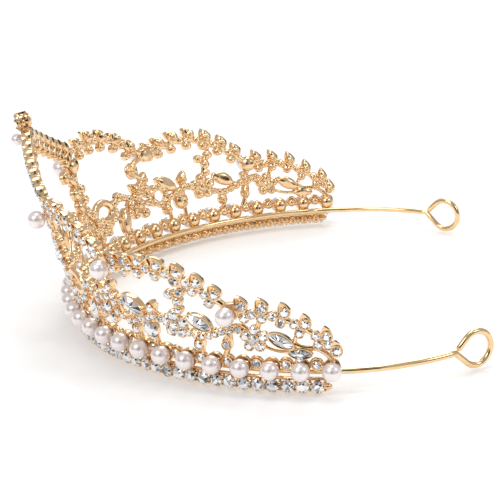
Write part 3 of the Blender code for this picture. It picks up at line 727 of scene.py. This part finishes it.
    def flower(self, degrees, height, reach=2.45, petal=3.15):
        """Five round petals about a small middle, all set with crystals."""
        x = along(degrees)
        for index in range(PETALS):
            a = math.radians(90.0 + 360.0 / PETALS * index)
            px = x + reach * math.cos(a)
            py = height + reach * math.sin(a)
            self.cup(math.degrees(px / RAIL_RADIUS), py, petal, 1.1)
        self.cup(degrees, height, 2.8, 1.5)

    def foot(self, degrees, height):
        """A short post down to the pearl rail."""
        self.rib(((degrees, height), (degrees, 1.9)), 3, 0.7)

    def meshes(self):
        """The finished gold and crystals, bent onto the band."""
        wax = melted(self.wax)
        edges = self.edges.mesh("edges")
        gold = joined([wax, edges])
        bend_mesh(gold)
        smooth_shading(gold)
        stones = self.stones.mesh("stones")
        bend_mesh(stones)
        return gold, stones


# ---------------------------------------------------------------- castings

def centre_casting():
    """Gabled arch with an apex seat, two pillars and a low fleuron between them."""
    casting = Casting()
    casting.apex_cup()
    casting.rib(((0.0, APEX_HEIGHT), APEX_PEARL), 3, 1.3)
    casting.pearl_seat(*APEX_PEARL)
    for side in (-1, 1):
        rows = [GABLE_FIRST + GABLE_STEP * i for i in range(GABLE_ROWS)]
        middles = [(side * d, GABLE_TOP - GABLE_FALL * (d - GABLE_FIRST)) for d in rows]
        casting.rib(middles, 3 * GABLE_ROWS, 1.0)
        for degrees, height in middles:
            casting.deep_cup(degrees, height + 1.5, 4.5, 2.6, 90.0 + 36.0 * side)
            casting.deep_cup(degrees, height - 1.2, 2.7, 2.6, 0.0)
            casting.deep_cup(degrees + 0.5 * side * GABLE_STEP, height - 3.0, 2.2, 2.2, 0.0)
        casting.pearl_seat(side * GABLE_PEARL[0], GABLE_PEARL[1])
        casting.rib(((side * 17.0, 32.0), (side * 18.3, 27.5), (side * 17.0, 22.0), (side * 16.8, 12.0),
                     (side * 17.5, 1.9)), 12, 1.1)
        casting.rib(((side * 13.6, 25.6), (side * 17.9, 22.2)), 4, 0.9)
        casting.cups(((side * 13.6, 25.6, 3.8), (side * 16.6, 23.8, 4.0), (side * 15.6, 29.0, 2.8),
                      (side * 18.6, 31.4, 2.8)))
        casting.cups(((side * 16.2, 20.0, 4.2), (side * 18.9, 20.4, 3.0), (side * 16.4, 16.2, 3.8),
                      (side * 19.0, 17.2, 3.2), (side * 15.8, 12.8, 3.4), (side * 18.4, 13.8, 3.8)))
        casting.cups(((side * 15.6, 9.9, 2.6), (side * 18.0, 9.6, 2.8), (side * 19.6, 12.0, 2.6),
                      (side * 17.0, 7.2, 3.0), (side * 19.4, 7.2, 2.6), (side * 18.2, 4.8, 2.8)))
        casting.rib(((0.0, 8.0), (side * 4.5, 5.2), (side * 9.0, 8.0), (side * 12.5, 13.5),
                     (side * 15.0, 11.0), (side * 17.5, 9.4)), 20, 0.75)
        casting.marquise((side * 5.6, 12.4, 90.0 - 38.0 * side), 7.4, 3.4)
        casting.rib(((side * 5.6, 12.4), (side * 0.8, 7.8)), 2)
        casting.marquise((side * 12.0, 13.8, 90.0 - 20.0 * side), 5.0, 2.8)
        casting.cups(((side * 2.6, 6.2, 2.2), (side * 4.6, 5.4, 2.2), (side * 6.8, 6.2, 2.2),
                      (side * 9.0, 7.8, 3.0), (side * 10.8, 10.6, 2.3), (side * 13.4, 7.2, 2.8),
                      (side * 14.2, 12.4, 2.3), (side * 9.4, 13.2, 2.6), (side * 8.6, 10.8, 2.2)))
        casting.rib(((side * 9.0, 7.8), (side * 13.4, 7.2), (side * 17.5, 5.6)), 6)
        casting.rib(((side * 9.4, 13.2), (side * 9.0, 7.8)), 4)
        casting.foot(side * 8.7, 7.8)
    casting.marquise((0.0, 14.2, 90.0), 9.4, 4.4)
    casting.cup(0.0, 7.6, 4.7)
    casting.foot(0.0, 7.0)
    return casting


def inner_casting():
    """First scallop: a vine over an open window, and a scrolled garland under it."""
    casting = Casting()
    casting.vine(INNER_LEAVES, INNER_STEM, INNER_LOW)
    casting.pearl_seat(*INNER_PEARL)
    casting.rib(((39.6, 24.6), INNER_PEARL), 3, 1.0)
    casting.rib((INNER_PEARL, (38.8, 21.0), (38.0, 18.8)), 5, 0.9)
    casting.ring(37.9, 19.2, 1.9)
    casting.cup(37.9, 19.2, 2.2)
    casting.rib(((38.4, 18.0), (40.2, 15.8), (38.2, 13.4), (38.6, 9.2)), 10, 0.8)
    casting.leaf(along(40.8), 16.2, 4.2, 2.8, 62.0)
    casting.leaf(along(37.4), 14.2, 4.0, 3.0, 130.0)
    casting.cups(((39.4, 14.4, 2.4), (38.8, 12.2, 2.4), (40.9, 11.4, 2.4), (40.8, 13.2, 2.4),
                  (36.9, 11.6, 2.2), (35.0, 11.8, 2.4), (33.3, 12.7, 2.2), (31.6, 13.4, 3.2),
                  (29.7, 12.2, 2.2),
                  (38.2, 9.3, 3.6), (36.2, 8.6, 2.2), (36.0, 6.6, 2.4), (39.2, 6.4, 3.2), (41.2, 8.8, 2.4),
                  (34.6, 10.0, 2.2), (34.2, 7.8, 2.2)))
    casting.rib(((29.0, 11.4), (31.6, 13.2), (35.0, 11.8), (38.8, 12.2), (41.4, 11.2)), 14, 0.75)
    casting.rib(((36.0, 6.6), (38.2, 9.3), (41.2, 8.8)), 6, 0.8)
    casting.rib(((34.2, 7.8), (34.6, 10.0), (35.0, 11.8)), 4, 0.7)
    casting.rib(((21.0, 11.2), (22.8, 13.4), (25.6, 13.8), (27.9, 12.2), (28.0, 9.8), (26.0, 8.6),
                 (23.8, 9.0)), 24, 1.15)
    casting.cups(((20.9, 12.2, 2.4), (21.0, 9.8, 2.4), (22.7, 8.3, 2.3), (24.5, 7.4, 2.3), (26.4, 7.4, 2.3),
                  (28.3, 8.2, 2.4), (29.2, 10.0, 2.2), (21.2, 7.2, 2.6), (22.9, 5.8, 2.4), (24.9, 5.2, 2.2),
                  (21.4, 4.6, 2.6)))
    casting.rib(((21.2, 12.0), (21.2, 1.9)), 4, 0.9)
    casting.rib(((21.2, 7.2), (24.9, 5.4), (28.3, 8.2), (31.9, 6.2)), 10, 0.7)
    casting.bezel(INNER_MARQUISE, 7.6, 3.7)
    casting.rib((INNER_MARQUISE[:2], (34.2, 7.8)), 3, 0.7)
    casting.foot(32.9, 3.4)
    return casting


def middle_casting():
    """Second scallop, with a flower on a strut and marquise leaves."""
    casting = Casting()
    casting.vine(MIDDLE_LEAVES, MIDDLE_STEM, MIDDLE_LOW)
    casting.rib((INNER_PEARL, (43.8, 23.2), (45.4, 23.0)), 4, 0.9)
    casting.rib(((64.2, 18.7), (66.4, 16.6), MIDDLE_PEARL), 4, 0.9)
    casting.bezel(MIDDLE_MARQUISE, 8.0, 3.9)
    casting.ring(44.2, 9.9, 2.2)
    casting.cups(((43.2, 12.4, 2.3), (42.7, 8.2, 2.2), (44.4, 7.3, 2.2), (46.2, 7.7, 2.2), (47.6, 8.8, 2.0),
                  (49.0, 9.2, 2.0), (50.3, 9.9, 2.0), (51.6, 10.6, 2.2), (53.2, 10.4, 2.2), (46.2, 10.8, 2.0),
                  (54.6, 9.4, 1.9)))
    casting.rib(((41.6, 11.0), (43.2, 12.2), (45.6, 12.6)), 4, 0.7)
    casting.rib(((46.0, 8.0), (49.0, 9.2), (51.8, 10.6), (54.6, 9.4), (56.6, 9.6)), 14, 0.75)
    casting.leaf(along(51.7), 13.4, 4.6, 3.1, 64.0)
    casting.rib(((51.7, 10.8), (51.7, 13.0)), 2, 0.7)
    casting.cup(50.4, 6.8, 5.0, 1.3)
    casting.rib(((50.4, 6.8), (51.4, 10.4)), 2, 0.8)
    casting.leaf(along(46.0), 5.8, 4.0, 3.0, 72.0)
    casting.rib(((46.3, 6.4), (46.2, 7.9)), 2, 0.7)
    casting.flower(56.6, 9.6)
    casting.rib(((59.2, 21.8), (58.7, 18.4), (57.7, 15.6), (56.6, 9.6)), 10, 0.75)
    casting.cups(((59.0, 18.7, 2.6), (56.6, 17.9, 2.6), (58.1, 16.0, 2.6), (58.0, 13.6, 2.2)))
    casting.rib(((56.6, 17.9), (58.6, 17.6)), 2, 0.7)
    casting.bezel(REAR_MARQUISE, 7.2, 3.8)
    casting.rib(((58.0, 8.6), (60.6, 7.3), (63.2, 7.4), (66.0, 9.0), (67.6, 10.0)), 12, 0.75)
    casting.cups(((59.4, 7.7, 2.0), (60.8, 7.2, 2.0), (62.2, 7.1, 2.0), (63.6, 7.5, 2.0), (65.0, 8.2, 2.1)))
    casting.rib(((60.0, 12.8), (59.0, 10.6)), 2, 0.7)
    casting.rib(((64.6, 9.2), (65.2, 8.4)), 2, 0.7)
    casting.leaf(along(61.3), 5.4, 4.4, 3.0, 86.0)
    casting.foot(46.4, 4.6)
    casting.foot(50.8, 5.0)
    casting.foot(61.5, 3.6)
    return casting


def outer_casting():
    """Last scallop, which runs down to the band's end."""
    casting = Casting()
    casting.vine(OUTER_LEAVES, OUTER_STEM, OUTER_LOW)
    casting.pearl_seat(*MIDDLE_PEARL)
    casting.rib((MIDDLE_PEARL, (67.6, 10.8), (67.6, 6.4), (66.2, 1.9)), 8, 0.8)
    casting.cups(((66.3, 9.0, 2.2), (67.9, 9.4, 2.3), (69.4, 9.8, 2.2), (70.8, 9.0, 2.0), (67.0, 11.2, 2.4)))
    casting.leaf(along(67.2), 6.4, 4.8, 2.9, 82.0)
    casting.flower(72.6, 7.5, 2.25, 2.85)
    casting.rib(((67.8, 10.0), (70.2, 10.8), (72.6, 7.5)), 6)
    casting.rib(((73.8, 14.0), (73.4, 11.0), (72.6, 7.5)), 4, 0.7)
    casting.bezel(OUTER_MARQUISE, 7.4, 3.5)
    casting.marquise((81.3, 4.1, -4.0), 6.4, 2.9)
    casting.rib(((79.6, 6.6), (81.6, 5.6), (84.4, 5.2), (86.2, 3.8), (87.4, 1.9)), 10, 0.7)
    casting.rib(((73.8, 5.8), (76.4, 4.6), (79.4, 4.2)), 8, 0.5)
    casting.rib(((74.6, 8.2), (76.0, 8.6)), 2, 0.6)
    casting.rib(((80.8, 9.2), (80.0, 6.6)), 2, 0.6)
    casting.rib(((84.7, 6.8), (84.9, 5.2)), 2, 0.6)
    casting.cup(81.2, 2.7, 2.4)
    casting.foot(81.4, 4.0)
    return casting


# ---------------------------------------------------------------- rails

def stone_rail():
    """Chain of round cups with claws between them, and a plain tab at each end."""
    gold = Shapes()
    stones = Shapes()
    count = 4 * PEARLS_EACH_SIDE
    pitch = along(PEARL_PITCH) / 2
    y = RAIL_STONE_Y
    for index in range(count + 1):
        x = (index - count / 2) * pitch
        if 0 < index < count:
            gold.add(*loft(circle(CUP_SIDES), (
                (0.0, -0.8), (0.28, -1.1), (0.42, -1.5), (0.75, -1.5), (1.15, -1.15), (1.42, -0.5),
                (1.55, 0.2), (1.80, 0.9), (1.72, 0.95), (1.6, 0.6), (0.0, 0.5)), (x, y)))
            stones.add(*brilliant((x, y), RAIL_STONE_RADIUS, 0.95, index * 1.3))
        if index < count:
            middle = x + 0.5 * pitch
            for side in (-1, 1):
                claw = [(middle, y + side * 0.75, 0.3), (middle, y + side * 0.85, 1.0),
                        (middle, y + side * 0.8, 1.4)]
                gold.add(*tube(claw, (0.34, 0.32, 0.26), 6))
            gold.add(*tube([(middle, y - 1.2, 0.0), (middle, y + 1.2, 0.0)], 0.4, 8))
    bar_end = (count / 2 - 0.2) * pitch
    bar = [(x, y, -0.2) for x in np.linspace(-bar_end, bar_end, BAR_POINTS)]
    gold.add(*tube(bar, 0.45, 8))
    strip = [(x, y + 1.75, -0.55) for x in np.linspace(-bar_end, bar_end, BAR_POINTS)]
    gold.add(*tube(strip, 0.5, 8))
    for side in (-1, 1):
        tab = [(side * (0.5 * count * pitch + d), y, z) for d, z in ((-2.0, 0.1), (-1.2, 0.3), (-0.7, 0.3))]
        gold.add(*tube(tab, (0.9, 1.0, 0.8), 10))
    mesh = gold.mesh("stone_rail")
    bend_mesh(mesh)
    smooth_shading(mesh)
    crystals = stones.mesh("rail_crystals")
    bend_mesh(crystals)
    return mesh, crystals


def pearl_rail():
    """Round backs behind the pearls, small cups between them, and posts down to the crystal rail."""
    gold = Shapes()
    stones = Shapes()
    pitch = along(PEARL_PITCH)
    for index in range(-PEARLS_EACH_SIDE, PEARLS_EACH_SIDE + 1):
        x = index * pitch
        dome = [(px, 1.12 * py) for px, py in circle(24)]
        gold.add(*loft(dome, (
            (0.0, -1.95), (0.5, -1.9), (1.0, -1.75), (1.5, -1.4), (1.9, -0.85), (2.12, -0.2), (2.2, 0.4),
            (2.1, 0.7), (1.5, 0.3), (0.0, -0.1)), (x, 0.3)))
        gold.add(*tube([(x, -1.2, -0.6), (x, -3.2, -0.3)], 0.5, 8))
        if index < PEARLS_EACH_SIDE:
            middle = x + 0.5 * pitch
            y = 1.0
            gold.add(*loft(circle(CUP_SIDES), (
                (0.0, -0.9), (0.35, -1.2), (0.8, -1.1), (1.2, -0.5), (1.3, 0.3), (1.3, 1.1), (1.05, 1.15),
                (1.0, 0.9), (0.0, 0.8)), (middle, y)))
            stones.add(*brilliant((middle, y), SPACER_RADIUS, 1.12, index * 1.3))
            hood = [(middle - 1.5, 1.5, 0.2), (middle - 0.8, 2.4, 0.3), (middle, 2.8, 0.4),
                    (middle + 0.8, 2.4, 0.3), (middle + 1.5, 1.5, 0.2)]
            gold.add(*tube(hood, 0.42, 8))
    bar_end = PEARLS_EACH_SIDE * pitch
    bar = [(x, 0.7, -0.1) for x in np.linspace(-bar_end, bar_end, BAR_POINTS)]
    gold.add(*tube(bar, 0.6, 8))
    mesh = gold.mesh("pearl_rail")
    bend_mesh(mesh)
    smooth_shading(mesh)
    crystals = stones.mesh("pearl_rail_crystals")
    bend_mesh(crystals)
    return mesh, crystals


# ---------------------------------------------------------------- pearls and wire

def pearl_mesh(radius):
    """A round bead, in metres."""
    profile = []
    for row in range(PEARL_ROWS + 1):
        a = math.pi * row / PEARL_ROWS - math.pi / 2
        profile.append((0.0 if row in (0, PEARL_ROWS) else math.cos(a) * radius, math.sin(a) * radius))
    points, faces = loft(circle(PEARL_SIDES), profile, (0.0, 0.0))
    mesh = bpy.data.meshes.new("pearl")
    mesh.from_pydata([(x * MM, y * MM, z * MM) for x, y, z in points], [], faces)
    mesh.shade_smooth()
    return mesh


def place_pearl(name, node, degrees, height, depth, mesh, material):
    """One pearl on the band, with its pole outwards."""
    obj = new_object(name, mesh.copy(), material)
    obj.location = bend(np.array([[along(degrees), height, depth]]))[0]
    obj.rotation_euler = (math.radians(90.0), 0.0, math.radians(degrees))
    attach(obj, "band")
    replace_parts(obj, node)


def wire_route():
    """Points of the left half of the wire in millimetres: the band, the arm, and once round the loop."""
    radius = RAIL_RADIUS + WIRE_DEPTH
    band = []
    for step in range(WIRE_STEPS + 1):
        a = math.radians(WIRE_STEP * step)
        band.append(Vector((radius * math.sin(a), CENTRE_Y - radius * math.cos(a), WIRE_Z)))
    arm = []
    position = Vector((radius, CENTRE_Y + GAP, WIRE_Z))
    for step in range(ARM_STEPS + 1):
        arm.append(position.copy())
        heading = math.radians(ARM_TURN * (step + 0.5) / ARM_STEPS)
        stride = Vector((-math.sin(heading), math.cos(heading), ARM_RISE)) * ARM_LENGTH / ARM_STEPS
        position = position + stride
    neck = arm[-1]
    heading = math.radians(LOOP_HEADING)
    outwards = Vector((-math.sin(heading), math.cos(heading), 0.0))
    middle = neck + outwards * LOOP_REACH
    half_angle = math.degrees(math.acos(LOOP_RADIUS / LOOP_REACH))
    for step in range(LOOP_STEPS + 1):
        a = math.radians(180.0 + half_angle + (360.0 - 2 * half_angle) * step / LOOP_STEPS)
        across = outwards * LOOP_RADIUS * math.cos(a)
        arm.append(middle + across + Vector((0.0, 0.0, LOOP_RADIUS * math.sin(a))))
    arm.append(neck + (arm[-1] - neck).normalized() * LOOP_END)
    return band, arm


def wire_mesh(points):
    """A smooth round wire in metres."""
    shapes = Shapes()
    shapes.add(*tube([p * MM for p in points], WIRE_RADIUS * MM, WIRE_SIDES))
    mesh = shapes.mesh("wire")
    mesh.shade_smooth()
    return mesh


# ---------------------------------------------------------------- stage

def area_light(name, place, size, power):
    """A soft white light aimed at the middle of the stage."""
    data = bpy.data.lights.new(name, "AREA")
    data.shape = "RECTANGLE"
    data.size, data.size_y = size
    data.energy = power
    light = bpy.data.objects.new(name, data)
    light.location = place
    light.rotation_euler = (Vector(STAGE_MIDDLE) - Vector(place)).to_track_quat("-Z", "Y").to_euler()
    bpy.context.scene.collection.objects.link(light)


def dark_card(name, place, size):
    """A dark board, facing the middle of the stage, that only shows in reflections."""
    mesh = bpy.data.meshes.new(name)
    w = 0.5 * size[0]
    h = 0.5 * size[1]
    mesh.from_pydata([(-w, -h, 0.0), (w, -h, 0.0), (w, h, 0.0), (-w, h, 0.0)], [], [(0, 1, 2, 3)])
    material, _, _, shader = new_material(name)
    shader.inputs["Base Color"].default_value = (0.02, 0.018, 0.015, 1.0)
    shader.inputs["Roughness"].default_value = 1.0
    shader.inputs["Specular IOR Level"].default_value = 0.0
    card = new_object(name, mesh, material)
    card.location = place
    card.rotation_euler = (Vector(STAGE_MIDDLE) - Vector(place)).to_track_quat("Z", "Y").to_euler()
    card.visible_camera = False
    card.visible_diffuse = False
    card.visible_shadow = False
    card.visible_transmission = False


def add_floor(low_z):
    """A plain pale floor."""
    mesh = bpy.data.meshes.new("floor")
    corners = [(FLOOR_HALF * x, FLOOR_HALF * y, low_z) for x, y in ((-1, -1), (1, -1), (1, 1), (-1, 1))]
    mesh.from_pydata(corners, [], [(0, 1, 2, 3)])
    material, _, _, shader = new_material("floor")
    shader.inputs["Base Color"].default_value = (0.95, 0.95, 0.95, 1.0)
    shader.inputs["Roughness"].default_value = 0.9
    shader.inputs["Emission Color"].default_value = (1.0, 1.0, 1.0, 1.0)
    shader.inputs["Emission Strength"].default_value = FLOOR_GLOW
    floor = new_object("floor", mesh, material)


def add_stage():
    """Floor, soft lights, dark cards and a pale surround."""
    add_floor(CAD_BOUNDS[0][2] - FLOOR_DROP)
    for light in LIGHTS:
        area_light(*light)
    for card in DARK_CARDS:
        dark_card(*card)
    world = bpy.data.worlds.new("world")
    world.use_nodes = True
    world.node_tree.nodes["Background"].inputs["Color"].default_value = (1.0, 1.0, 1.0, 1.0)
    world.node_tree.nodes["Background"].inputs["Strength"].default_value = WORLD_STRENGTH
    bpy.context.scene.world = world


# ---------------------------------------------------------------- the tiara

def add_gold(name, mesh, node, material):
    """A gold piece that stands for one node of the band."""
    obj = new_object(name, mesh, material)
    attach(obj, "band")
    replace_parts(obj, node)


def add_crystals(name, mesh, material):
    """A group of small set crystals."""
    obj = new_object(name, mesh, material)
    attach(obj, "band")
    return obj


def main():
    """Build every piece around the frame."""
    add_camera()
    bpy.context.scene.view_settings.view_transform = "Standard"
    cast_gold = gold_material("cast_gold", *CAST_GILT, 0.10, 0.22, 0.00004)
    wire_gold = gold_material("wire_gold", *WIRE_GILT, 0.08, 0.14, 0.000005)
    pearl_skin = pearl_material()
    crystal = crystal_material()

    gold, stones = centre_casting().meshes()
    add_gold("centre_filigree", gold, "centre_casting", cast_gold)
    add_crystals("centre_crystals", stones, crystal)
    for piece, make in (("inner", inner_casting), ("middle", middle_casting), ("outer", outer_casting)):
        gold, stones = make().meshes()
        add_gold("left_%s_filigree" % piece, gold, "left_%s_casting" % piece, cast_gold)
        add_crystals("left_%s_crystals" % piece, stones, crystal)
        add_gold("right_%s_filigree" % piece, mirrored(gold), "right_%s_casting" % piece, cast_gold)
        add_crystals("right_%s_crystals" % piece, mirrored(stones), crystal)

    gold, stones = stone_rail()
    add_gold("crystal_rail_gold", gold, "stone_rail", cast_gold)
    add_crystals("crystal_rail_crystals", stones, crystal)
    gold, stones = pearl_rail()
    add_gold("pearl_rail_gold", gold, "pearl_rail", cast_gold)
    add_crystals("pearl_rail_crystals", stones, crystal)

    bead = pearl_mesh(PEARL_RADIUS)
    for index in range(-PEARLS_EACH_SIDE, PEARLS_EACH_SIDE + 1):
        side_name = "front" if index == 0 else "%s_%02d" % ("left" if index > 0 else "right", abs(index))
        place_pearl("bead_" + side_name, "rail_pearl_" + side_name, index * PEARL_PITCH, 0.0, PEARL_DEPTH,
                    bead, pearl_skin)
    small = pearl_mesh(APEX_PEARL_RADIUS)
    place_pearl("bead_apex", "apex_pearl", *APEX_PEARL, APEX_PEARL_DEPTH, small, pearl_skin)
    for name, degrees, height in (("gable", *GABLE_PEARL), ("inner", *INNER_PEARL), ("middle", *MIDDLE_PEARL)):
        for side, sign in (("left", 1), ("right", -1)):
            node = "%s_%s_pearl" % (side, name)
            place_pearl("bead_%s_%s" % (side, name), node, sign * degrees, height, ACCENT_DEPTH,
                        bead, pearl_skin)

    apex = Shapes()
    apex.add(*brilliant((0.0, APEX_HEIGHT), 1.85, 1.7, 0.2))
    mesh = apex.mesh("apex")
    bend_mesh(mesh)
    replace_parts(add_crystals("apex_brilliant", mesh, crystal), "apex_crystal")
    for name, place, length, width in (
            ("inner", INNER_MARQUISE, 6.9, 3.1), ("middle", MIDDLE_MARQUISE, 7.4, 3.2),
            ("rear", REAR_MARQUISE, 6.6, 3.1), ("outer", OUTER_MARQUISE, 6.7, 2.8)):
        degrees, height, angle = place
        shapes = Shapes()
        shapes.add(*navette((along(degrees), height), length, width, 1.55, angle))
        mesh = shapes.mesh(name)
        bend_mesh(mesh)
        left = add_crystals("left_%s_navette" % name, mesh, crystal)
        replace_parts(left, "left_%s_marquise" % name)
        right = add_crystals("right_%s_navette" % name, mirrored(mesh), crystal)
        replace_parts(right, "right_%s_marquise" % name)

    band, arm = wire_route()
    half = band[:ARM_FIRST_STEP + 1]
    whole = [Vector((-p.x, p.y, p.z)) for p in reversed(half[1:])] + half
    add_gold("wire_hoop", wire_mesh(whole), "headband_wire", wire_gold)
    left = wire_mesh([*band[ARM_FIRST_STEP:], *arm])
    right = mirrored(left)
    for side, mesh, sign in (("left", left, 1.0), ("right", right, -1.0)):
        obj = new_object("wire_%s_arm" % side, mesh, wire_gold)
        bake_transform(obj)
        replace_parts(obj, "%s_arm_wire" % side)
    add_stage()


main()
